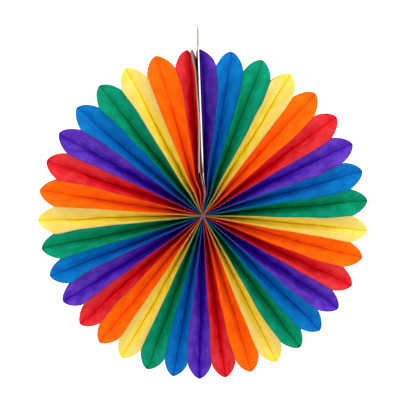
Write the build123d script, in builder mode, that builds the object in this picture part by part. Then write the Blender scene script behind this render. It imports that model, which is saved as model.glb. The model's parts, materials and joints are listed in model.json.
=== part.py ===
from build123d import *
from math import asin, cos, degrees, pi, radians, sin, sqrt
import os

os.makedirs("parts", exist_ok=True)

# A flat honeycomb tissue fan, opened to a full circle and hung by the tab of its right cover.
# Millimetres. X is right, Y away from the viewer and Z up. The origin is the middle of the hanging hole.

# Leaves: two make a petal, glued down the middle (a valley) and to the next petals along both
# long edges (the ridges)
petal_count = 36
petal_colours = ("purple", "blue", "green", "yellow", "orange", "red")
tip_radius = 225.0
leaf_slack = 1.04  # a leaf's free width over the widest gap that it crosses in the open fan
arch_length = 44.0
valley_strip = 1.5
ridge_strip = 4.0
leaf_thickness = 0.2
glue_gap = 0.03
hub_slack = 0.1
section_count = 5
cut_margin = 1.0

# How the open fan stands: the left cover leans, and the sheets hang a little to each side
seam_tilt = 2.3
sag_angle = 4.9

# Covers
board_thickness = 1.6
board_start = 58.0
facing_thickness = 0.2
facing_start = 10.0
seam_clearance = 0.05
tab_reach = 22.0  # from the arch's tip to the middle of the hanging hole
tab_half_width = 8.0
hang_hole_radius = 2.5

# Closing pad, stuck to the right facing
pad_start = 54.0
pad_end = 70.0
pad_half_width = 10.0
pad_clearance = 0.1

# Binding thread, sewn round the hub through every leaf
thread_radius = 0.2
thread_hole_radius = 0.6
thread_inset = 1.5
thread_depth = 14.0
corner_knot_radius = 0.3
knot_radius = 0.6

# Worked out from the sizes above
board_offset = seam_clearance + facing_thickness
leaf_offset = board_offset + board_thickness
end_line_offset = leaf_offset + leaf_thickness + glue_gap
hang_drop = tip_radius + tab_reach
hub = Vector(-board_offset - board_thickness / 2, 0, -hang_drop)
last_line = 2 * petal_count - 2
widest_gap = tip_radius * radians((360 - seam_tilt + 2 * pi * sag_angle) / last_line)
slope_width = leaf_slack * widest_gap
leaf_half_width = valley_strip + slope_width + ridge_strip
hub_pitch = leaf_thickness + 2 * glue_gap + hub_slack
hub_radius = (last_line * hub_pitch + 2 * end_line_offset) / (2 * pi)
thread_ring_radius = hub_radius + thread_inset


def towards(angle):
    # unit direction from the hub, clockwise from straight up
    return Vector(sin(radians(angle)), 0, cos(radians(angle)))


def spread(share, radius, offset):
    # angle at a share of the way round, between two lines that keep an offset from the seam faces
    first = degrees(asin(offset / radius))
    last = 360 - seam_tilt - first
    return first + share * (last - first)


def glue_line(number):
    # inner and outer ends of a glue line: even numbers are valleys and odd numbers are ridges
    share = number / last_line
    inner_angle = spread(share, hub_radius, end_line_offset)
    outer_angle = spread(share, tip_radius, end_line_offset) + sag_angle * sin(2 * pi * share)
    return hub + towards(inner_angle) * hub_radius, hub + towards(outer_angle) * tip_radius


def crossing(section, number):
    # how far across from the valley a glue line passes through a section plane
    inner, outer = (section.to_local_coords(end) for end in glue_line(number))
    share = inner.Z / (inner.Z - outer.Z)
    return inner.X + share * (outer.X - inner.X)


def fold_depth(run):
    # depth that a leaf's slope keeps when it also runs this far across
    return sqrt(slope_width**2 - run**2)


def slope_run(ridge_across):
    return abs(ridge_across) - leaf_thickness - 2 * glue_gap


def leaf_outline(ridge_across):
    # the bent sheet cut straight across, from its front ridge to its back ridge
    side = 1 if ridge_across > 0 else -1
    run = slope_run(ridge_across)
    slope_end = valley_strip + fold_depth(run)
    half = [(0, valley_strip), (run, slope_end), (run, slope_end + ridge_strip)]
    near = [(glue_gap + across, -depth) for across, depth in reversed(half)]
    near += [(glue_gap + across, depth) for across, depth in half]
    far = [(across + leaf_thickness, depth) for across, depth in reversed(near)]
    return [(side * across, depth) for across, depth in near + far]


def pointed_strip(half_width, length, start=0.0):
    # a strip along Y whose end is a pointed arch
    shoulder = length - arch_length
    with BuildSketch() as strip:
        with BuildLine():
            Polyline((half_width, shoulder), (half_width, start), (-half_width, start), (-half_width, shoulder))
            TangentArc((-half_width, shoulder), (0, length), tangent=(0, 1))
            TangentArc((half_width, shoulder), (0, length), tangent=(0, 1))
        make_face()
    return strip.sketch


def tabbed_strip(start):
    # the right cover's outline, with the tab and its hanging hole
    with BuildSketch() as strip:
        add(pointed_strip(leaf_half_width, tip_radius, start))
        with Locations((0, hang_drop - arch_length / 2)):
            Rectangle(2 * tab_half_width, arch_length)
        with Locations((0, hang_drop)):
            Circle(tab_half_width)
            Circle(hang_hole_radius, mode=Mode.SUBTRACT)
    return strip.sketch


def seam_plane(angle):
    # the plane of a cover through the hub: local X is depth, local Y runs outwards
    return Plane(origin=hub, x_dir=(0, 1, 0), z_dir=towards(angle + 90))


def make_petal(number):
    inner, outer = glue_line(2 * number)
    length = (outer - inner).length
    along = (outer - inner).normalized()
    across = Vector(along.Z, 0, -along.X)
    valley = Plane(origin=inner, x_dir=across, z_dir=along)
    side_view = Plane(origin=inner, x_dir=(0, 1, 0), z_dir=across)
    shoulder = valley.offset(length - arch_length)
    sides = [side for side in (-1, 1) if 0 < 2 * number + side < last_line]
    widest = min(slope_run(crossing(shoulder, 2 * number + side)) for side in sides)
    shoulder_depth = valley_strip + fold_depth(widest) + ridge_strip
    with BuildPart() as petal:
        for side in sides:
            for step in range(section_count):
                section = valley.offset(length * step / (section_count - 1))
                with BuildSketch(section):
                    with BuildLine():
                        Polyline(*leaf_outline(crossing(section, 2 * number + side)), close=True)
                    make_face()
            loft(ruled=True)
        # the straight part keeps the leaf's whole depth and the end is cut to the arch
        with BuildSketch(side_view):
            with Locations((0, (length - arch_length) / 2)):
                Rectangle(2 * leaf_half_width + cut_margin, length - arch_length)
            add(pointed_strip(shoulder_depth, length))
        extrude(amount=leaf_half_width, both=True, mode=Mode.INTERSECT)
        # an end petal's other leaf lies flat on its cover
        for side in {-1, 1} - set(sides):
            with BuildSketch(side_view.offset(side * glue_gap)):
                add(pointed_strip(leaf_half_width, length))
            extrude(amount=side * leaf_thickness)
        with BuildSketch(side_view):
            with Locations((-thread_depth, thread_inset), (thread_depth, thread_inset)):
                Circle(thread_hole_radius)
        extrude(amount=leaf_half_width, both=True, mode=Mode.SUBTRACT)
    return petal.part


for number in range(petal_count):
    name = f"petal_{number + 1:02d}_{petal_colours[number % len(petal_colours)]}"
    petal = make_petal(number)
    petal.label = name
    export_step(petal, f"parts/{name}.step")


right_seam = seam_plane(0)
left_seam = seam_plane(-seam_tilt)

with BuildPart() as right_facing:
    with BuildSketch(right_seam.offset(seam_clearance)):
        add(pointed_strip(leaf_half_width, tip_radius, facing_start))
    extrude(amount=facing_thickness)
right_facing.part.label = "right_facing"
export_step(right_facing.part, "parts/right_facing.step")

with BuildPart() as right_cover:
    with BuildSketch(right_seam.offset(board_offset)):
        add(tabbed_strip(board_start))
    extrude(amount=board_thickness)
right_cover.part.label = "right_cover"
export_step(right_cover.part, "parts/right_cover.step")

with BuildPart() as left_facing:
    with BuildSketch(left_seam.offset(-seam_clearance)):
        add(pointed_strip(leaf_half_width, tip_radius, facing_start))
    extrude(amount=-facing_thickness)
left_facing.part.label = "left_facing"
export_step(left_facing.part, "parts/left_facing.step")

with BuildPart() as left_cover:
    with BuildSketch(left_seam.offset(-board_offset)):
        add(pointed_strip(leaf_half_width, tip_radius, board_start))
    extrude(amount=-board_thickness)
left_cover.part.label = "left_cover"
export_step(left_cover.part, "parts/left_cover.step")


# The pad is a wedge: its right face lies on the right facing and its left face meets the left one
def pad_corner(seam, offset, distance):
    corner = seam.offset(offset).from_local_coords((0, distance, 0)) - hub
    return corner.X, corner.Z


right_edge = [pad_corner(right_seam, seam_clearance, distance) for distance in (pad_start, pad_end)]
left_edge = [
    pad_corner(left_seam, pad_clearance - seam_clearance, distance) for distance in (pad_end, pad_start)
]
with BuildPart() as closing_pad:
    with BuildSketch(Plane(origin=hub, x_dir=(1, 0, 0), z_dir=(0, -1, 0))):
        with BuildLine():
            Polyline(*right_edge, *left_edge, close=True)
        make_face()
    extrude(amount=pad_half_width, both=True)
closing_pad.part.label = "closing_pad"
export_step(closing_pad.part, "parts/closing_pad.step")


# The thread runs round the hub in front, crosses to the back beside each end leaf and is knotted
# in the room that the right board leaves
thread_middle = board_offset + board_thickness / 2
thread_start = spread(0, thread_ring_radius, thread_middle)
thread_end = spread(1, thread_ring_radius, thread_middle)
front_view = Plane(origin=hub, x_dir=(1, 0, 0), z_dir=(0, -1, 0))
with BuildPart() as binding_thread:
    for depth in (-thread_depth, thread_depth):
        with BuildLine(front_view.offset(-depth)) as ring:
            CenterArc((0, 0), thread_ring_radius, 90 - thread_start, thread_start - thread_end)
        with BuildSketch(Plane(origin=ring.line @ 0, z_dir=ring.line % 0)):
            Circle(thread_radius)
        sweep(path=ring.line)
        with Locations(ring.line @ 0, ring.line @ 1):
            Sphere(corner_knot_radius)
    for angle in (thread_start, thread_end):
        crossing_place = hub + towards(angle) * thread_ring_radius
        with BuildSketch(Plane(origin=crossing_place, x_dir=(1, 0, 0), z_dir=(0, 1, 0))):
            Circle(thread_radius)
        extrude(amount=thread_depth, both=True)
    knot_place = hub + towards(thread_start) * thread_ring_radius
    with BuildSketch(Plane(origin=knot_place, x_dir=(1, 0, 0), z_dir=(0, 1, 0))):
        Circle(knot_radius)
    extrude(amount=knot_radius, both=True)
binding_thread.part.label = "binding_thread"
export_step(binding_thread.part, "parts/binding_thread.step")
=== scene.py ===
import json
from math import pi, radians

import bmesh
import bpy
import numpy as np
from mathutils import Matrix, Vector

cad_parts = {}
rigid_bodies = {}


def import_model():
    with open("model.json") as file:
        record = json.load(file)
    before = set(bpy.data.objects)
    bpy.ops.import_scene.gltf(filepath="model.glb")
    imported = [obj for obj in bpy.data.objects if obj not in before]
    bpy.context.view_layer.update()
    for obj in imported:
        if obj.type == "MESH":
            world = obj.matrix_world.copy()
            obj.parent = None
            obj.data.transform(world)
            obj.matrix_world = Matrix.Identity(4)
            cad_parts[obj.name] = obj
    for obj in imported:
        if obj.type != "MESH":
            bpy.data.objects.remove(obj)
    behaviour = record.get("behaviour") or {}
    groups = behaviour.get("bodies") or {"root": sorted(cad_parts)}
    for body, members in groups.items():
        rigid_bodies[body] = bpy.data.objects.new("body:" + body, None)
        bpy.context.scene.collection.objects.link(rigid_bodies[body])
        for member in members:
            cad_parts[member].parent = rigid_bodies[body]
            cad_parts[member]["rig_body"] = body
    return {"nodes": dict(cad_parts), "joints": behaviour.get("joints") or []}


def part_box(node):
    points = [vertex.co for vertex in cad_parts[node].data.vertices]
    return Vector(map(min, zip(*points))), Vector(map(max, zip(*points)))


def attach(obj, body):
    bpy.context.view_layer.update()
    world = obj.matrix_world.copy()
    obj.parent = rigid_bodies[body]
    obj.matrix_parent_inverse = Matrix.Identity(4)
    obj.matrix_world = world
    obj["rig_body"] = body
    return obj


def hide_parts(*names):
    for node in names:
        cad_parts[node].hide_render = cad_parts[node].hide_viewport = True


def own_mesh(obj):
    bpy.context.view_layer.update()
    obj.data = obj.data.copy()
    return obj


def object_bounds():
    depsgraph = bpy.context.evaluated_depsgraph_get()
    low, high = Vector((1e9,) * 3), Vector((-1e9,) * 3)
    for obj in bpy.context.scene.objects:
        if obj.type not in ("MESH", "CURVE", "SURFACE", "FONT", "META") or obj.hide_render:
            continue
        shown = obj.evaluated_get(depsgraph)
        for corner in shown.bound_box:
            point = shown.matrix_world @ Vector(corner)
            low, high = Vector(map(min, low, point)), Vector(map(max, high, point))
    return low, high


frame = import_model()
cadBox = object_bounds()


# Points, angles and radii: angles run clockwise from straight up, seen from the front

def meshPoints(mesh):
    # a mesh's points as rows of x, y and z
    points = np.empty(3 * len(mesh.vertices), np.float32)
    mesh.vertices.foreach_get("co", points)
    return points.reshape(-1, 3).astype(float)


def tipPlace(name):
    # angle and reach of the node's furthest point from the hub's axis
    offset = meshPoints(frame["nodes"][name].data) - hub
    reach = np.hypot(offset[:, 0], offset[:, 2])
    tip = offset[reach.argmax()]
    return np.arctan2(tip[0], tip[2]) % (2 * pi), reach.max()


def fromPolar(radius, angle, depth):
    # hub + radius along the angle's direction, at a depth along the hub's axis
    sideways = hub[0] + radius * np.sin(angle)
    upwards = hub[2] + radius * np.cos(angle)
    return np.stack([sideways, hub[1] + depth, upwards], axis=-1)


def smoothStep(value, low, high):
    # 0 below low, 1 above high and a smooth S between them
    share = np.clip((value - low) / (high - low), 0, 1)
    return share * share * (3 - 2 * share)


foldJoint = next(joint for joint in frame["joints"] if joint["name"] == "fan_fold")
hub = np.array(foldJoint["pos_m"])
petalNames = sorted(name for name in frame["nodes"] if name.startswith("petal_"))
colourNames = [name.rsplit("_", 1)[1] for name in petalNames]
tips = np.array([tipPlace(name)[0] for name in petalNames])
tipRadius = tipPlace(petalNames[len(petalNames) // 2])[1]
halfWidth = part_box(petalNames[0])[1].y
lastLine = 2 * len(petalNames) - 2
lineNumbers = np.arange(lastLine + 1)
lineRims = np.interp(lineNumbers, lineNumbers[::2], tips)
seamTilt = 2 * pi - tips[0] - tips[-1]
seamMiddle = -seamTilt / 2
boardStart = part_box("right_cover")[0].z - hub[2]
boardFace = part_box("right_cover")[1].x - hub[0]
tabRadius = cadBox[1].z


# The glue lines that all leaves share: even numbers are valleys, odd numbers are ridges

lines = {
    "seed": 7,
    "waves": (0.21, 0.105, 0.052),  # lengths of the lines' slow wander, in metres
    "sizes": (0.075, 0.05, 0.03),  # in shares of the gap to the next line
    "sizeSpread": 0.35,
    "hubCalm": 0.05,  # the wander grows from the hub to this radius
    "seamCalm": 3,  # and over this many lines from the seam
    "hubFace": 0.0003,  # how far the end lines stand off the seam at the hub
    "hubReach": 0.004,  # and the radius where they stand that far off
    "boardFrom": 0.35,  # share of the boards' start from which the lines make room for them
    "endFace": 0.0004,  # how far the end leaves' glue lines stand off the boards
    "crack": 0.0011,  # and how much more the right one's front edge does, from where to where
    "crackDepths": (0.008, 0.022),
    "crackReach": 0.1,
    "rightEnd": 0.0052,  # how far the end valleys stand off the boards near their tips
    "leftEnd": 0.0050,
    "tipEnd": 0.0010,  # and at the right tip itself
    "endFull": 0.62,  # shares of the tip radius where that distance is reached, and where it ends
    "endUntil": 0.93,
    "steepest": 0.9,  # largest sine of an angle worked out from a distance
    "easeLines": 2.0,  # how many lines beside the seam ease off the covers
    "lean": {"purple": 1.1, "blue": 0.9, "green": 0.7, "yellow": 0.1, "orange": 1.0, "red": 0.3},  # degrees
    "leanSpread": 0.3,
    "backLean": 0.3,  # share of the lean that the back has
    "leanStarts": (0.02, 0.1),
    "leanEnds": (0.165, 0.205),
}
lineRandom = np.random.default_rng(lines["seed"])
linePhases = lineRandom.uniform(0, 2 * pi, (3, lastLine + 1, len(lines["waves"])))
lineSizes = lineRandom.normal(1, lines["sizeSpread"], (3, lastLine + 1, len(lines["waves"])))
lineLeans = lineRandom.normal(1, lines["leanSpread"], lastLine + 1)


def pastHub(radius):
    # 0 at the hub, 1 from the boards' start outwards
    return smoothStep(radius, lines["boardFrom"] * boardStart, boardStart)


def standOffAngle(distance, radius):
    # the angle between a plane through the hub's axis and a point this far off it: the ratio's arcsine
    return np.arcsin(np.clip(distance / radius, 0, lines["steepest"]))


def seamOffset(radius, outside, tip):
    # distance from a seam face to its end valley: thin at the hub, a board's thickness and a little more by
    # the board's start, more again outside, and back to the tip's own distance at the end
    hubPart = lines["hubFace"] * smoothStep(radius, 0, lines["hubReach"])
    boardPart = (boardFace + lines["endFace"]) * pastHub(radius)
    outPart = (outside - lines["endFace"]) * smoothStep(radius, boardStart, lines["endFull"] * tipRadius)
    tipPart = (tip - outside) * smoothStep(radius, lines["endUntil"] * tipRadius, tipRadius)
    return hubPart + boardPart + outPart + tipPart


def endLines(radius):
    # the first and last lines' angles: each keeps seamOffset's distance from its own side of the seam
    right = standOffAngle(seamOffset(radius, lines["rightEnd"], lines["tipEnd"]), radius)
    left = standOffAngle(seamOffset(radius, lines["leftEnd"], lines["leftEnd"]), radius)
    return right, 2 * pi - seamTilt - left


def lineAngle(number, radius, side):
    # the line's share of the way round at the rim, kept all the way in and eased off the covers beside the
    # seam, plus a sum of sines in radius and a ridge's own lean; side -1 is front, 1 is back, 0 a valley
    share = (lineRims[number] - lineRims[0]) / (lineRims[-1] - lineRims[0])
    first, last = endLines(radius)
    firstTip, lastTip = endLines(tipRadius)
    straight = firstTip + share * (lastTip - firstTip)
    straight = straight + (first - firstTip) * np.exp(-number / lines["easeLines"])
    straight = straight + (last - lastTip) * np.exp((number - lastLine) / lines["easeLines"])
    wander = sum(
        size * lineSizes[side, number, k] * np.sin(2 * pi * radius / wave + linePhases[side, number, k])
        for k, (wave, size) in enumerate(zip(lines["waves"], lines["sizes"]))
    )
    nearSeam = min(1, number / lines["seamCalm"], (lastLine - number) / lines["seamCalm"])
    calm = smoothStep(radius, 0, lines["hubCalm"]) * nearSeam
    if side:  # the ridges lean clockwise, in front and a little behind
        lean = radians(lines["lean"][colourNames[number // 2]]) * lineLeans[number]
        lean = lean * (1 if side < 0 else lines["backLean"])
        leaning = smoothStep(radius, *lines["leanStarts"]) * (1 - smoothStep(radius, *lines["leanEnds"]))
        straight = straight + lean * leaning
    return straight + wander * calm * pi / lastLine


# The seam: how the covers and the petals beside them hang when the fan is closed up

seam = {
    "leftBow": 0.0058,  # the left cover's front edge bows towards the seam, then curls back at the tip
    "bowReach": (0.04, 0.14),  # radii over which the bow grows
    "leftCurl": 0.0040,
    "curlReach": (0.192, 0.224),
    "bowSpread": 14,  # how many degrees of petals follow the bow
    "rightShare": 0.25,  # share of the closing that the right cover does
    "closedAt": 0.018,  # depth at which the covers meet
    "closeSpread": 16,  # how many degrees of petals follow the closing
    "fullWidth": 0.6,  # degrees beside each cover that move as much as it does
    "kink": 0.0034,  # a wave near the hub, its place, length and spread in degrees
    "kinkPlace": 0.033,
    "kinkLength": 0.012,
    "kinkSpread": 20,
    "open": 0.0013,  # the front of the right side stands this much more open
    "openReach": (0.012, 0.03),
    "hubOpen": 0.0006,  # and a little more beside the hub
    "hubOpenReach": (0.05, 0.075),
    "openSpread": 5,
    "tabLean": 0.0006,  # the tab's end leans to the right
    "plumb": 0.5,  # the seam hangs this many degrees to the left of the petals' own even spacing
    "plumbReach": (0.01, 0.05),
}


def archHalf(radius):
    # half the depth that a leaf or a cover still has at a radius: the arch's curve the other way round
    length = petal["archLength"]
    curve = (length**2 + halfWidth**2) / (2 * halfWidth)
    rise = np.clip(length - (tipRadius - radius), 0, length)
    return halfWidth - curve + np.sqrt(curve**2 - rise**2)


def seamBow(radius):
    # out to the full bow between the hub and the middle, back by the curl near the tip
    bow = seam["leftBow"] * smoothStep(radius, *seam["bowReach"])
    return bow - seam["leftCurl"] * smoothStep(radius, *seam["curlReach"])


def hangSeam(radius, angle, depth):
    # the wedge between the covers, less the left cover's bow, closes steadily from the covers' front edges to
    # the depth where they meet; each side moves by its share and the petals follow less and less; the hub's
    # wave and the plumb turn move both sides alike
    off = (angle - seamMiddle + pi) % (2 * pi) - pi + seamMiddle
    beyondRight = np.maximum(off - radians(seam["fullWidth"]), 0)
    beyondLeft = np.maximum(-off - seamTilt - radians(seam["fullWidth"]), 0)
    spread = radians(seam["closeSpread"])
    bow = seamBow(radius) / radius
    besideHub = 1 - smoothStep(radius, *seam["hubOpenReach"])
    opened = (seam["open"] + seam["hubOpen"] * besideHub) * smoothStep(radius, *seam["openReach"]) / radius
    gap = np.maximum(seamTilt - bow + opened, 0)
    front = np.maximum(archHalf(radius), tabRadius)
    closed = np.clip((depth + front) / (seam["closedAt"] + front), 0, 1)
    upright = seam["tabLean"] / radius * np.clip((radius - tipRadius) / (2 * tabRadius), 0, 2)
    right = opened * np.exp(-beyondRight / radians(seam["openSpread"])) + upright
    right = right - seam["rightShare"] * gap * closed * np.exp(-beyondRight / spread)
    left = (1 - seam["rightShare"]) * gap * closed * np.exp(-beyondLeft / spread)
    left = left + bow * np.exp(-beyondLeft / radians(seam["bowSpread"]))
    share = np.clip(-off / seamTilt, 0, 1)
    wave = seam["kink"] * np.exp(-(((radius - seam["kinkPlace"]) / seam["kinkLength"]) ** 2)) / radius
    wave = wave * np.exp(-(beyondRight + beyondLeft) / radians(seam["kinkSpread"]))
    plumb = radians(seam["plumb"]) * smoothStep(radius, *seam["plumbReach"])
    plumb = plumb * np.exp(-(beyondRight + beyondLeft) / spread)
    return angle + (1 - share) * right + share * left + wave - plumb


# Meshes

def sheetMesh(points, closedAlong=False):
    # a grid of points, rows by columns, as a sheet of quads; closed along joins the last row to the first
    rows, columns = points.shape[:2]
    corner = np.arange(rows * columns).reshape(rows, columns)
    if closedAlong:
        corner = np.concatenate([corner, corner[:1]])
    quads = np.stack([corner[:-1, :-1], corner[:-1, 1:], corner[1:, 1:], corner[1:, :-1]], axis=-1)
    return points.reshape(-1, 3), quads.reshape(-1, 4)


def buildMesh(name, parts):
    # joins (points, quads) parts into one smooth mesh
    starts = np.cumsum([0] + [len(points) for points, _ in parts])
    points = np.concatenate([points for points, _ in parts])
    quads = np.concatenate([quads + start for (_, quads), start in zip(parts, starts)])
    mesh = bpy.data.meshes.new(name)
    mesh.from_pydata(points.tolist(), [], quads.tolist())
    mesh.polygons.foreach_set("use_smooth", np.ones(len(quads), bool))
    return mesh


def addPiece(name, mesh, material, body):
    # a finished piece on its own body, with its slot in the part's list of materials
    piece = bpy.data.objects.new(name, mesh)
    bpy.context.scene.collection.objects.link(piece)
    mesh.materials.append(material)
    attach(piece, body)
    return piece


def addValues(mesh, name, values):
    # one number for each point, read by a material
    attribute = mesh.attributes.new(name, "FLOAT", "POINT")
    attribute.data.foreach_set("value", values.astype(np.float32).ravel())


# Material tools

def newMaterial(name):
    # an empty material, with its node tree, its shader and its output
    material = bpy.data.materials.new(name)
    material.use_nodes = True
    tree = material.node_tree
    return material, tree, tree.nodes["Principled BSDF"], tree.nodes["Material Output"]


def addNode(tree, kind, **settings):
    # a new node with its settings filled in
    node = tree.nodes.new(kind)
    for key, value in settings.items():
        setattr(node, key, value)
    return node


def join(tree, source, target):
    # a link from one socket to another
    tree.links.new(source, target)


def mathNode(tree, operation, first, second=None):
    # first and second are sockets or numbers
    node = addNode(tree, "ShaderNodeMath", operation=operation)
    for place, value in enumerate((first, second)):
        if value is None:
            continue
        if isinstance(value, (int, float)):
            node.inputs[place].default_value = value
        else:
            join(tree, value, node.inputs[place])
    return node.outputs[0]


def rangeNode(tree, value, low, high, outLow=0.0, outHigh=1.0):
    # outLow below low, outHigh above high and a smooth S between them
    node = addNode(tree, "ShaderNodeMapRange", interpolation_type="SMOOTHSTEP")
    join(tree, value, node.inputs["Value"])
    for socket, number in (("From Min", low), ("From Max", high), ("To Min", outLow), ("To Max", outHigh)):
        node.inputs[socket].default_value = number
    return node.outputs["Result"]


def mixNode(tree, factor, first, second, blend="MIX"):
    # first and second are colour sockets or colours
    node = addNode(tree, "ShaderNodeMix", data_type="RGBA", blend_type=blend)
    for socket, value in ((node.inputs[0], factor), (node.inputs[6], first), (node.inputs[7], second)):
        if isinstance(value, bpy.types.NodeSocket):
            join(tree, value, socket)
        elif isinstance(value, (int, float)):
            socket.default_value = value
        else:
            socket.default_value = (*value, 1)
    return node.outputs[2]


def fibreNode(tree, source, fineness):
    # the paper's fibres on a texture's own coordinates
    node = addNode(tree, "ShaderNodeGroup", node_tree=fibreGroup)
    join(tree, source, node.inputs["Sheet"])
    node.inputs["Fineness"].default_value = fineness
    return node


def finishSurface(tree, principled, colour, height, finish):
    # colour and raised fibres into the shader, with the finish's own bump, roughness and shine
    bump = addNode(tree, "ShaderNodeBump")
    bump.inputs["Strength"].default_value = finish["bump"]
    bump.inputs["Distance"].default_value = finish["bumpDepth"]
    join(tree, height, bump.inputs["Height"])
    join(tree, colour, principled.inputs["Base Color"])
    join(tree, bump.outputs["Normal"], principled.inputs["Normal"])
    principled.inputs["Roughness"].default_value = finish["roughness"]
    principled.inputs["Specular IOR Level"].default_value = finish["specular"]


# Paper fibres, shared by all materials

paperFibre = {  # stretch, detail and roughness of each noise
    "cloud": ((0.09, 0.05, 0.09), 3, 0.6),
    "fibre": ((1.0, 0.16, 1.0), 2, 0.6),
    "grain": ((0.5, 0.5, 0.5), 2, 0.5),
    "cloudHeight": 2.0,
}


def paperFibreGroup():
    # clouds, fine fibres and their height, on a sheet's own metres: three noises of one fineness, each with
    # its own stretch; the fibre put out is the mean of two, and the height is the raised cloud plus the fibre
    group = bpy.data.node_groups.new("paperFibre", "ShaderNodeTree")
    group.interface.new_socket("Sheet", in_out="INPUT", socket_type="NodeSocketVector")
    group.interface.new_socket("Fineness", in_out="INPUT", socket_type="NodeSocketFloat")
    for output in ("Cloud", "Fibre", "Height"):
        group.interface.new_socket(output, in_out="OUTPUT", socket_type="NodeSocketFloat")
    start = addNode(group, "NodeGroupInput")
    end = addNode(group, "NodeGroupOutput")

    def noise(stretch, detail, rough):
        mapping = addNode(group, "ShaderNodeMapping")
        join(group, start.outputs["Sheet"], mapping.inputs["Vector"])
        mapping.inputs["Scale"].default_value = stretch
        texture = addNode(group, "ShaderNodeTexNoise", noise_dimensions="3D")
        join(group, mapping.outputs["Vector"], texture.inputs["Vector"])
        join(group, start.outputs["Fineness"], texture.inputs["Scale"])
        texture.inputs["Detail"].default_value = detail
        texture.inputs["Roughness"].default_value = rough
        return texture.outputs["Fac"]

    cloud = noise(*paperFibre["cloud"])
    fibre = noise(*paperFibre["fibre"])
    grain = noise(*paperFibre["grain"])
    raised = mathNode(group, "MULTIPLY", cloud, paperFibre["cloudHeight"])
    join(group, cloud, end.inputs["Cloud"])
    join(group, mathNode(group, "MULTIPLY", mathNode(group, "ADD", fibre, grain), 0.5), end.inputs["Fibre"])
    join(group, mathNode(group, "ADD", raised, fibre), end.inputs["Height"])
    return group


fibreGroup = paperFibreGroup()


# Tissue of the petals

tissue = {
    "colours": {  # at the rim and ridges, painted bounce light further in, painted shade deep between the leaves
        "purple": ((0.155, 0.050, 0.54), (0.052, 0.002, 0.48), (0.012, 0.000, 0.060)),
        "blue": ((0.000, 0.210, 0.55), (0.000, 0.150, 0.60), (0.000, 0.016, 0.085)),
        "green": ((0.000, 0.350, 0.200), (0.000, 0.262, 0.092), (0.000, 0.034, 0.012)),
        "yellow": ((0.750, 0.650, 0.225), (1.000, 0.840, 0.045), (0.75, 0.320, 0.002)),
        "orange": ((0.920, 0.180, 0.000), (1.000, 0.140, 0.000), (0.75, 0.030, 0.000)),
        "red": ((0.740, 0.042, 0.052), (0.780, 0.000, 0.010), (0.40, 0.000, 0.001)),
    },
    # each pair or row below is low, high and the values there; hollow is a depth in groove widths
    "inner": (0.22, 1.0),  # hollow over which the painted bounce light comes
    "innerClouds": (0.3, 0.7, -0.22, 0.28),  # and how much the clouds shift that
    # painted shade: hollow over which the colour goes to the deep one
    "deep": (1.25, 3.3, 0.0, 0.9),
    "valleyGlue": (0.045, 0.085, 0.6, 0.0),  # shares of the half width; glue and painted shade along the valley's bottom
    "ridgeGlue": (0.86, 0.92, 0.0, 0.15),
    "clouds": (0.32, 0.68),
    "cloudShare": 0.35,
    "grain": (0.35, 0.65, 0.0, 0.3),
    "shade": 0.55,  # how far glue, the valley's painted shade, clouds and grain together take the colour to their own
    "shadeInner": 0.25,  # that colour is the deep painted shade with this share of the painted bounce light
    "mottle": (0.3, 0.7, 1.06, 0.94),
    "rimLine": 0.0010,  # the cut edge's darker line
    "rimShade": 0.85,
    "through": 0.34,  # share of the light that comes through the leaf
    "fineness": 1100.0,
    "roughness": 0.82,
    "specular": 0.1,
    "bump": 0.5,
    "bumpDepth": 0.00015,
}


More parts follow.
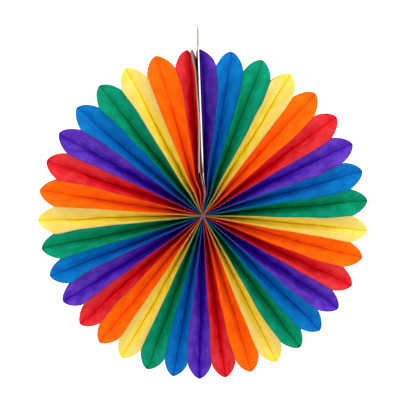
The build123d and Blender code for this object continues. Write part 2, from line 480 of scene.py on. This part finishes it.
def tissueMaterial(name):
    # the rim's colour turns to painted bounce light, then deep painted shade, with the hollow; glue, painted
    # shade at the valley, clouds and grain darken it, and it ends in a darker line at the cut edge; part of
    # the light comes through
    rimColour, bounceLightColour, paintedShadeColour = tissue["colours"][name]
    material, tree, principled, output = newMaterial("tissue" + name.capitalize())
    sheet = addNode(tree, "ShaderNodeUVMap", uv_map="sheet")
    fibre = fibreNode(tree, sheet.outputs["UV"], tissue["fineness"])
    across = addNode(tree, "ShaderNodeAttribute", attribute_name="across").outputs["Fac"]
    rim = addNode(tree, "ShaderNodeAttribute", attribute_name="rim").outputs["Fac"]
    hollow = addNode(tree, "ShaderNodeAttribute", attribute_name="hollow").outputs["Fac"]
    off = mathNode(tree, "ABSOLUTE", across)
    # glue and painted shade along the valley's bottom
    valleyGlue = rangeNode(tree, off, *tissue["valleyGlue"])
    ridgeGlue = rangeNode(tree, off, *tissue["ridgeGlue"])
    cloud = rangeNode(tree, fibre.outputs["Cloud"], *tissue["clouds"])
    cloud = mathNode(tree, "MULTIPLY", cloud, tissue["cloudShare"])
    grain = rangeNode(tree, fibre.outputs["Fibre"], *tissue["grain"])
    shade = mathNode(tree, "ADD", mathNode(tree, "ADD", valleyGlue, ridgeGlue), cloud)
    shade = mathNode(tree, "MINIMUM", mathNode(tree, "ADD", shade, grain), 1.0)
    shade = mathNode(tree, "MULTIPLY", shade, tissue["shade"])
    # painted bounce light: a brighter, more saturated colour further into the grooves
    inner = rangeNode(tree, hollow, *tissue["inner"])
    inner = mathNode(tree, "ADD", inner, rangeNode(tree, fibre.outputs["Cloud"], *tissue["innerClouds"]))
    inner = mathNode(tree, "MAXIMUM", mathNode(tree, "MINIMUM", inner, 1.0), 0.0)
    # painted shade deep in the grooves
    deep = rangeNode(tree, hollow, *tissue["deep"])
    mottle = rangeNode(tree, fibre.outputs["Cloud"], *tissue["mottle"])
    edge = rangeNode(tree, rim, tissue["rimLine"], 2 * tissue["rimLine"], 1.0, 0.0)
    colour = mixNode(tree, inner, rimColour, bounceLightColour)
    colour = mixNode(tree, shade, colour, mixNode(tree, tissue["shadeInner"], paintedShadeColour, bounceLightColour))
    colour = mixNode(tree, deep, colour, paintedShadeColour)
    colour = mixNode(tree, 1.0, colour, mottle, "MULTIPLY")
    colour = mixNode(tree, edge, colour, [tissue["rimShade"] * value for value in bounceLightColour])
    finishSurface(tree, principled, colour, fibre.outputs["Height"], tissue)
    through = addNode(tree, "ShaderNodeBsdfTranslucent")
    join(tree, colour, through.inputs["Color"])
    mixed = addNode(tree, "ShaderNodeMixShader")
    mixed.inputs["Fac"].default_value = tissue["through"]
    join(tree, principled.outputs["BSDF"], mixed.inputs[1])
    join(tree, through.outputs["BSDF"], mixed.inputs[2])
    join(tree, mixed.outputs["Shader"], output.inputs["Surface"])
    return material


tissues = {name: tissueMaterial(name) for name in tissue["colours"]}
print("tissue ready")


# Boards, facing papers, foam and thread

boardLow = hub[2] + boardStart
boardHigh = hub[2] + tipRadius
board = {
    "finishes": {  # faces, cut edges, how fine the fibres are and how rough
        "greyboard": ((0.30, 0.285, 0.245), (0.86, 0.85, 0.81), 700, 0.85),
        # the left cover: the same greyboard in painted shade with a painted warm reflection
        "greyboardWorn": ((0.20, 0.15, 0.10), (0.17, 0.155, 0.11), 700, 0.85),
        "redFacing": ((0.33, 0.012, 0.010), (0.40, 0.03, 0.02), 1100, 0.85),
        "buffFacing": ((0.36, 0.24, 0.19), (0.42, 0.20, 0.12), 1100, 0.85),
        "padFoam": ((0.30, 0.25, 0.21), (0.30, 0.25, 0.21), 420, 0.95),
        "threadCotton": ((0.70, 0.67, 0.60), (0.70, 0.67, 0.60), 2500, 0.9),
    },
    "bands": {  # a cut edge turns to another colour between the first height and the second
        "greyboard": [
            # painted shade: the white cut edge darkens towards the board's inner end beside the hub
            (boardLow + 0.024, boardLow + 0.002, (0.15, 0.12, 0.10)),
            (boardHigh - 0.002, boardHigh + 0.006, (0.36, 0.345, 0.31)),
        ],
        # painted light and shade on the left cover's edge: lighter and warmer lower down, near black at the
        # tip
        "greyboardWorn": [
            (boardHigh - 0.05, boardHigh - 0.08, (0.36, 0.24, 0.21)),
            (boardHigh - 0.018, boardHigh, (0.045, 0.04, 0.045)),
        ],
    },
    "cut": (0.6, 0.8, 1.0, 0.0),  # how far sideways a face points, and how much of a cut edge it then is
    "speck": (0.3, 0.7, 0.0, 0.35),
    "speckShade": 0.72,
    "specular": 0.25,
    "bump": 0.3,
    "bumpDepth": 0.0002,
}


def boardMaterial(name):
    # one colour on faces that point sideways, another with its bands on the rest, and darker specks on both
    face, cut, fineness, roughness = board["finishes"][name]
    material, tree, principled, _ = newMaterial(name)
    place = addNode(tree, "ShaderNodeTexCoord")
    fibre = fibreNode(tree, place.outputs["Object"], fineness)
    facing = addNode(tree, "ShaderNodeSeparateXYZ")
    join(tree, place.outputs["Normal"], facing.inputs[0])
    isCut = rangeNode(tree, mathNode(tree, "ABSOLUTE", facing.outputs["X"]), *board["cut"])
    upward = addNode(tree, "ShaderNodeSeparateXYZ")
    join(tree, place.outputs["Object"], upward.inputs[0])
    for start, end, colour in board["bands"].get(name, ()):
        low, high = sorted((start, end))
        reached = (0.0, 1.0) if end > start else (1.0, 0.0)
        cut = mixNode(tree, rangeNode(tree, upward.outputs["Z"], low, high, *reached), cut, colour)
    speck = rangeNode(tree, fibre.outputs["Fibre"], *board["speck"])
    colour = mixNode(tree, isCut, face, cut)
    colour = mixNode(tree, speck, colour, [board["speckShade"] * value for value in face])
    finishSurface(tree, principled, colour, fibre.outputs["Height"], {**board, "roughness": roughness})
    return material


# Petals

petal = {
    "paper": 0.00008,
    "glue": 0.00001,
    "stripHalf": 0.0015,  # glued middle strip
    "ridgeStrip": 0.0030,
    "archLength": 0.044,
    "blunt": 0.0045,
    "hubRing": 0.0011,  # where the leaves' inner edges stand
    "alongSteps": 84,
    "slopeSteps": 21,
    "evenSteps": 0.4,  # share of even steps across, the rest crowd at the slope's ends
    "bend": 0.28,  # share of the slope that bends at each end, where the leaf has room to bend
    "bendSteps": 24,
    "stretch": 0.985,  # steepest a leaf may pull, as sine of its slope
    "widest": 0.965,  # most that a slope may span, as share of its own width
    "stripEase": 0.8,  # share of the middle strip that comes loose towards the rim
    "easeReach": 0.030,
    "flare": 0.00045,  # the cut edges stand a little open, by no more than their share of the groove
    "flareShare": 0.3,
    "flareDeep": 0.0011,
    "flareLoss": 0.6,  # share of it that goes over these radii
    "flareReach": (0.06, 0.12),
    "creases": 4,
    "crease": 0.0005,
    "creaseWidth": 0.055,
    "creasePlaces": (0.25, 0.75),
    "creaseDrift": 0.12,  # share of the slope that a crease drifts in this length from this radius
    "creaseLength": 0.1,
    "creaseMiddle": 0.13,
    "creaseStarts": (0.05, 0.15),
    "creaseFade": 0.04,
    "wrinkle": 0.0008,
    "wrinkleSeed": 21,
    "wrinkleWaves": 5,
    "wrinkleLengths": (0.018, 0.07),
    "wrinkleMean": 0.045,
    "wrinkleLean": 0.9,
    "rippleRoom": (0.001, 0.012),  # groove widths over which wrinkles and creases grow
    "rippleRim": 0.15,  # what is left of them at the rim
    "rimReach": 0.03,
    "narrowest": 0.0005,  # groove width below which the hollow is counted as if it were this
    "hollowest": 9,
    "sheetStart": 0.6,  # places of the leaves on the fibre pattern
    "sheetSide": 0.3,
    "sheetStep": 0.07,
    "foldFace": 0.0003,  # how far off the boards the end petals flatten
}


def archDrop(across):
    # how far below the tip a round arch, tangent to the long edge, is at a distance from the middle line; the
    # distance starts as its own square, so that the tip is a little blunt
    length = petal["archLength"]
    radius = (length**2 + halfWidth**2) / (2 * halfWidth)
    blunt = petal["blunt"]
    whole = np.sqrt(halfWidth**2 + blunt**2) - blunt
    across = (np.sqrt(across**2 + blunt**2) - blunt) * halfWidth / whole
    return length - np.sqrt(radius**2 - (across + radius - halfWidth) ** 2)


def slopeShape(share, ratio):
    # a sheet of fixed length that leaves one glue strip straight, bends, runs at a steady slope, bends back
    # and meets the next strip straight: its slope's sine is a plateau with smooth ends, and the
    # travels across and inwards are that sine's and its cosine's running sums
    bend = np.minimum(petal["bend"], 0.5 * (1 - ratio))[..., None]
    place = share[..., None] * (np.arange(petal["bendSteps"]) + 0.5) / petal["bendSteps"]
    plateau = smoothStep(np.minimum(place, 1 - place), 0, bend)
    sine = np.minimum(ratio[..., None] / (1 - bend) * plateau, petal["stretch"])
    across = (plateau.mean(-1) * share) / (1 - bend[..., 0])
    inwards = np.sqrt(1 - sine**2).mean(-1) * share
    return across, inwards


def wrinkles(radius, across, random):
    # the mean of a few crossing waves, the long ones taller
    total = 0
    for _ in range(petal["wrinkleWaves"]):
        length = random.uniform(*petal["wrinkleLengths"])
        lean = random.normal(0, petal["wrinkleLean"])
        phase = random.uniform(0, 2 * pi)
        wave = np.sin(2 * pi * (radius + lean * across) / length + phase)
        total = total + wave * length / petal["wrinkleMean"]
    return total / petal["wrinkleWaves"]


def creases(radius, share, random):
    # long soft folds, each a bell across a line that drifts from one share of the slope to another
    total = 0
    for _ in range(petal["creases"]):
        start = random.uniform(*petal["creasePlaces"]) * random.choice((-1, 1))
        drift = random.normal(0, petal["creaseDrift"])
        low = random.uniform(*petal["creaseStarts"])
        place = start + drift * (radius - petal["creaseMiddle"]) / petal["creaseLength"]
        bell = np.exp(-(((share - place) / petal["creaseWidth"]) ** 2))
        height = random.normal(0, petal["crease"])
        total = total + height * bell * smoothStep(radius, low, low + petal["creaseFade"])
    return total


def leafGrid(valley, side, random):
    # a leaf from its valley line to the ridge line on one side, front half and back half: rows run from the
    # hub's ring to the arch, columns from the front edge to the back edge, and each point's place is its
    # radius, the valley's angle plus its travel across, and its travel inwards as depth
    strip = petal["stripHalf"]
    slope = halfWidth - strip - petal["ridgeStrip"]
    even = np.linspace(0, 1, petal["slopeSteps"] + 1)
    crowded = 0.5 - 0.5 * np.cos(pi * even)
    steps = (1 - petal["evenSteps"]) * crowded + petal["evenSteps"] * even
    lip = halfWidth - petal["flareDeep"] * np.array([1, 0.5, 0])
    half = np.concatenate([[0, strip / 2], strip + slope * steps, lip])
    across = np.concatenate([-half[:0:-1], half])[None, :]
    along = np.linspace(0, 1, petal["alongSteps"])[:, None]
    edge = tipRadius - archDrop(across)
    radius = petal["hubRing"] + along * (edge - petal["hubRing"])
    front = across < 0
    off = np.abs(across)
    ridge = valley + side
    middle = lineAngle(valley, radius, 0)
    if 0 <= ridge <= lastLine:
        outer = np.where(front, lineAngle(ridge, radius, -1), lineAngle(ridge, radius, 1))
    else:  # glued to a cover, and only the right one's front edge stands a little open
        crack = lines["crack"] * smoothStep(-across, *lines["crackDepths"])
        crack = crack * smoothStep(radius, boardStart, lines["crackReach"]) * (ridge < 0)
        face = (boardFace + lines["endFace"]) * pastHub(radius) + crack
        outer = standOffAngle(face, radius)
        outer = outer if ridge < 0 else 2 * pi - seamTilt - outer
    seated = petal["paper"] / 2 - petal["glue"]
    standOff = petal["paper"] / 2 + petal["glue"]
    width = radius * np.abs(outer - middle)
    run = np.maximum(width - seated - standOff, 0)
    loose = petal["stripEase"] * smoothStep(radius, tipRadius - petal["easeReach"], tipRadius)
    stripHere = strip * (1 - loose)
    share = np.clip((off - stripHere) / (slope + strip - stripHere), 0, 1)
    sideways, inwards = slopeShape(share, np.clip(run / slope, 0, petal["widest"]))
    depth = np.minimum(off, stripHere) + inwards * slope + np.maximum(off - strip - slope, 0)
    depth = np.where(front, -depth, depth)
    ripple = petal["wrinkle"] * wrinkles(radius, across, random) * np.sin(pi * share) ** 2
    ripple = ripple + creases(radius, share * np.sign(across), random)
    ripple = ripple * smoothStep(run, *petal["rippleRoom"])
    inside = smoothStep(edge - radius, 0, petal["rimReach"])
    ripple = ripple * (petal["rippleRim"] + (1 - petal["rippleRim"]) * inside)
    flare = np.minimum(petal["flare"], petal["flareShare"] * run)
    flare = flare * smoothStep(off, halfWidth - petal["flareDeep"], halfWidth)
    flare = flare * (1 - petal["flareLoss"] * smoothStep(radius, *petal["flareReach"]))
    angle = middle + side * (seated + run * sideways + ripple - flare) / radius
    points = fromPolar(radius, hangSeam(radius, angle, depth), depth)
    # depth in groove widths, which sets where the tissue's painted bounce light and painted shade fall
    hollow = (halfWidth - off) / np.maximum(2 * width, petal["narrowest"])
    return points, across + 0 * radius, radius, edge - radius, np.minimum(hollow, petal["hollowest"])


def makePetal(number):
    # two leaves, left and right of the valley, as one thin sheet mesh with the values that its tissue reads
    name = petalNames[number]
    random = np.random.default_rng(petal["wrinkleSeed"] + number)
    parts, values = [], []
    for side in (-1, 1):
        grids = leafGrid(2 * number, side, random)
        if side > 0:  # both leaves face out of the groove
            grids = [grid[:, ::-1] for grid in grids]
        points, across, radius, rim, hollow = grids
        parts.append(sheetMesh(points))
        up = radius + petal["sheetSide"] * side + petal["sheetStart"]
        values.append(np.stack([across.ravel(), up.ravel(), rim.ravel(), hollow.ravel()]))
    across, up, rim, hollow = np.concatenate(values, axis=1)
    mesh = buildMesh("petalSheet" + str(number + 1), parts)
    addValues(mesh, "across", across / halfWidth)
    addValues(mesh, "rim", rim)
    addValues(mesh, "hollow", hollow)
    corners = np.empty(len(mesh.loops), np.int32)
    mesh.loops.foreach_get("vertex_index", corners)
    sheet = np.stack([across + petal["sheetStep"] * number, up], axis=-1)
    mesh.uv_layers.new(name="sheet").data.foreach_set("uv", sheet[corners].astype(np.float32).ravel())
    body = frame["nodes"][name]["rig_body"]
    colour = colourNames[number]
    piece = addPiece("sheet_" + name, mesh, tissues[colour], body)
    thicken = piece.modifiers.new("paper", "SOLIDIFY")
    thicken.thickness = petal["paper"]
    thicken.offset = 0
    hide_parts(name)
    return piece


def foldPetal(piece):
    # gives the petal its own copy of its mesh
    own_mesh(piece)


for number in range(len(petalNames)):
    foldPetal(makePetal(number))
print("petals ready")


# Covers, facings and pad: copies of the model's plates, cut into a grid and bent to the closed seam

plate = {
    "rows": 24,
    "columns": 12,
    "merge": 1e-6,
    "flat": 0.01,  # faces closer to level than this, in radians, are one face
    "bevel": 0.00025,
    "padBevel": 0.0004,
    "bevelSteps": 2,
    "bevelAngle": 50,
    "curl": -0.0011,  # the loose back of the right facing curls
    "curlDepths": (-0.008, 0.010, 0.010, 0.016),
    "curlReach": (0.19, 0.215),
    "lip": 0.0022,  # the left facing's front edge turns over beside the hub
    "lipDepth": 0.0035,
    "lipStarts": (0.012, 0.02),
    "lipEnds": (0.05, 0.062),
}


def gridCopy(node):
    # a merged copy of a plate, cut across and along so that it can bend
    work = bmesh.new()
    work.from_mesh(frame["nodes"][node].data)
    bmesh.ops.remove_doubles(work, verts=work.verts, dist=plate["merge"])
    bmesh.ops.dissolve_limit(work, angle_limit=plate["flat"], verts=work.verts, edges=work.edges)
    low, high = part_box(node)
    upward = (Vector((0, 0, 1)), low.z, high.z, plate["rows"])
    inward = (Vector((0, 1, 0)), low.y, high.y, plate["columns"])
    for normal, start, stop, count in (upward, inward):
        for place in np.linspace(start, stop, count + 1)[1:-1]:
            shape = work.verts[:] + work.edges[:] + work.faces[:]
            bmesh.ops.bisect_plane(work, geom=shape, plane_co=normal * float(place), plane_no=normal)
    mesh = bpy.data.meshes.new(node + "Plate")
    work.to_mesh(mesh)
    work.free()
    return mesh


def bendPlate(node, curl, lip):
    # the seam's shape, an extra curl of the loose back of a facing and a lip at the front beside the hub
    mesh = gridCopy(node)
    points = meshPoints(mesh) - hub
    radius = np.hypot(points[:, 0], points[:, 2])
    depth = np.clip(points[:, 1], -halfWidth, halfWidth)
    angle = hangSeam(radius, np.arctan2(points[:, 0], points[:, 2]), depth)
    curlFrom, curlFull, curlUntil, curlEnd = plate["curlDepths"]
    back = smoothStep(depth, curlFrom, curlFull) * (1 - smoothStep(depth, curlUntil, curlEnd))
    back = back * smoothStep(radius, *plate["curlReach"])
    front = smoothStep(-depth, halfWidth - plate["lipDepth"], halfWidth)
    front = front * smoothStep(radius, *plate["lipStarts"]) * (1 - smoothStep(radius, *plate["lipEnds"]))
    bent = fromPolar(radius, angle + (curl * back + lip * front) / radius, points[:, 1])
    mesh.vertices.foreach_set("co", bent.astype(np.float32).ravel())
    mesh.update()
    return mesh


def makePlate(node, material, body, curl=0.0, lip=0.0, bevel=0.0):
    # the bent copy in place of the model's own plate, with its corners softened where it is thick enough
    piece = addPiece("plate_" + node, bendPlate(node, curl, lip), boardMaterial(material), body)
    if bevel:
        soften = piece.modifiers.new("corner", "BEVEL")
        soften.width = bevel
        soften.segments = plate["bevelSteps"]
        soften.limit_method = "ANGLE"
        soften.angle_limit = radians(plate["bevelAngle"])
    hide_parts(node)


makePlate("right_cover", "greyboard", "hanging_cover", bevel=plate["bevel"])
# the left cover gets the greyboard in painted shade with a painted warm reflection
makePlate("left_cover", "greyboardWorn", "left_cover", bevel=plate["bevel"])
makePlate("right_facing", "redFacing", "hanging_cover", curl=plate["curl"])
makePlate("left_facing", "buffFacing", "left_cover", lip=plate["lip"])
makePlate("closing_pad", "padFoam", "hanging_cover", bevel=plate["padBevel"])
print("covers ready")


# Binding thread: a closed loop round the hub in front and behind, as a twisted tube

thread = {
    "radius": 0.0002,
    "round": 10,
    "twist": 0.12,
    "turnLength": 0.0012,
    "inset": 0.0003,  # how far inside the model's own thread the loop runs
    "start": 0.17,  # radians between the seam and the crossings
    "sweepSteps": 170,
    "crossSteps": 40,
    "sideways": 0.2,  # how much the tube's first spoke points along the hub's axis
    "merge": 1e-7,
}


def threadPath():
    # forwards round the hub in front, across, backwards round it behind and across again
    low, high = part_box("binding_thread")
    ring = (high.x - low.x) / 2 - thread["radius"]
    depth = (high.y - low.y) / 2 - thread["inset"]
    sweep = np.linspace(thread["start"], 2 * pi - seamTilt - thread["start"], thread["sweepSteps"])
    level = np.full(thread["sweepSteps"], depth)
    crossing = np.linspace(-depth, depth, thread["crossSteps"] + 2)[1:-1]
    stay = np.ones(thread["crossSteps"])
    angle = np.concatenate([sweep, stay * sweep[-1], sweep[::-1], stay * sweep[0]])
    deep = np.concatenate([-level, crossing, level, crossing[::-1]])
    return fromPolar(ring, angle, deep)


def tube(path, radius, around, twist, turnLength):
    # rings carried along a closed path; each ring's radius swells where the two strands lie
    ahead = np.roll(path, -1, 0) - np.roll(path, 1, 0)
    ahead /= np.linalg.norm(ahead, axis=1, keepdims=True)
    out = path - hub
    out[:, 1] *= thread["sideways"]
    out -= (out * ahead).sum(1, keepdims=True) * ahead
    out /= np.linalg.norm(out, axis=1, keepdims=True)
    third = np.cross(ahead, out)
    travelled = np.cumsum(np.linalg.norm(np.diff(path, axis=0, prepend=path[-1:]), axis=1))
    spin = np.linspace(0, 2 * pi, around, endpoint=False)
    turned = spin[None, :] - 2 * pi * travelled[:, None] / turnLength
    swell = radius * (1 + twist * np.cos(2 * turned) - twist)
    ring = out[:, None, :] * np.cos(spin)[None, :, None] + third[:, None, :] * np.sin(spin)[None, :, None]
    points = path[:, None, :] + swell[..., None] * ring
    return np.concatenate([points, points[:, :1]], axis=1)


def makeThread():
    # the tube's seam is merged and its faces turned outwards
    rings = tube(threadPath(), thread["radius"], thread["round"], thread["twist"], thread["turnLength"])
    mesh = buildMesh("threadTube", [sheetMesh(rings, closedAlong=True)])
    weld = bmesh.new()
    weld.from_mesh(mesh)
    bmesh.ops.remove_doubles(weld, verts=weld.verts, dist=thread["merge"])
    bmesh.ops.recalc_face_normals(weld, faces=weld.faces)
    weld.to_mesh(mesh)
    weld.free()
    return addPiece("thread_loop", mesh, boardMaterial("threadCotton"), "hanging_cover")


threadPiece = makeThread()
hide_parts("binding_thread")
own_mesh(threadPiece)
print("thread ready")


# Stage: a pale floor below the fan, soft lights and the camera

stage = {
    "drop": 0.30,  # floor below the fan's lowest point
    "floorRadius": 1.0,
    "floorHole": 0.001,
    "floorSteps": (9, 97),
    "floorColour": (0.86, 0.86, 0.85, 1),
    "floorRoughness": 0.9,
    "world": 1.42,
    "lamps": {  # place, width and power
        "keyLamp": ((0.8, -1.3, 1.2), 0.7, 18),
        "fillLamp": ((-1.1, -1.5, 0.0), 0.9, 4),
    },
}
view = {
    "distance": 2.2,
    "elevation": 2.5,  # degrees, as is the roll
    "roll": -1.7,
    "halfView": 0.2766,  # half the width seen at the hub
    "aside": 0.0005,
    "above": 0.0160,
}


def makeFloor():
    # a disc of rings round the hub's own place
    outwards, around = stage["floorSteps"]
    angle = np.linspace(0, 2 * pi, around)[None, :]
    reach = np.linspace(stage["floorHole"], stage["floorRadius"], outwards)[:, None]
    height = cadBox[0].z - stage["drop"]
    level = height + 0 * reach * angle
    points = np.stack([hub[0] + reach * np.cos(angle), reach * np.sin(angle), level], axis=-1)
    mesh = buildMesh("floorDisc", [sheetMesh(points)])
    material, _, principled, _ = newMaterial("floorPale")
    principled.inputs["Base Color"].default_value = stage["floorColour"]
    principled.inputs["Roughness"].default_value = stage["floorRoughness"]
    floor = bpy.data.objects.new("floor", mesh)
    bpy.context.scene.collection.objects.link(floor)
    mesh.materials.append(material)


def addLamp(name, place, width, power):
    # a round lamp that points at the hub
    lamp = bpy.data.lights.new(name, "AREA")
    lamp.shape = "DISK"
    lamp.size = width
    lamp.energy = power
    holder = bpy.data.objects.new(name, lamp)
    bpy.context.scene.collection.objects.link(holder)
    holder.location = place
    aim = Vector(hub) - Vector(place)
    holder.rotation_euler = aim.to_track_quat("-Z", "Y").to_euler()


def addWorld():
    # even white light from all round
    world = bpy.data.worlds.new("softWhite")
    world.use_nodes = True
    background = world.node_tree.nodes["Background"]
    background.inputs["Color"].default_value = (1, 1, 1, 1)
    background.inputs["Strength"].default_value = stage["world"]
    bpy.context.scene.world = world
    bpy.context.scene.view_settings.view_transform = "Standard"


def addCamera():
    # looks along the hub's axis from a little above, at a place a little above the hub
    camera = bpy.data.cameras.new("camera")
    holder = bpy.data.objects.new("camera", camera)
    bpy.context.scene.collection.objects.link(holder)
    camera.lens = camera.sensor_width / 2 * view["distance"] / view["halfView"]
    elevation = radians(view["elevation"])
    target = Vector(hub) + Vector((view["aside"], 0, view["above"]))
    away = Vector((0, -np.cos(elevation), np.sin(elevation)))
    turn = (-away).to_track_quat("-Z", "Y").to_matrix() @ Matrix.Rotation(radians(view["roll"]), 3, "Z")
    holder.matrix_world = Matrix.LocRotScale(target + view["distance"] * away, turn, (1, 1, 1))
    bpy.context.scene.camera = holder


makeFloor()
addWorld()
for name, (place, width, power) in stage["lamps"].items():
    addLamp(name, place, width, power)
addCamera()
print("stage ready")
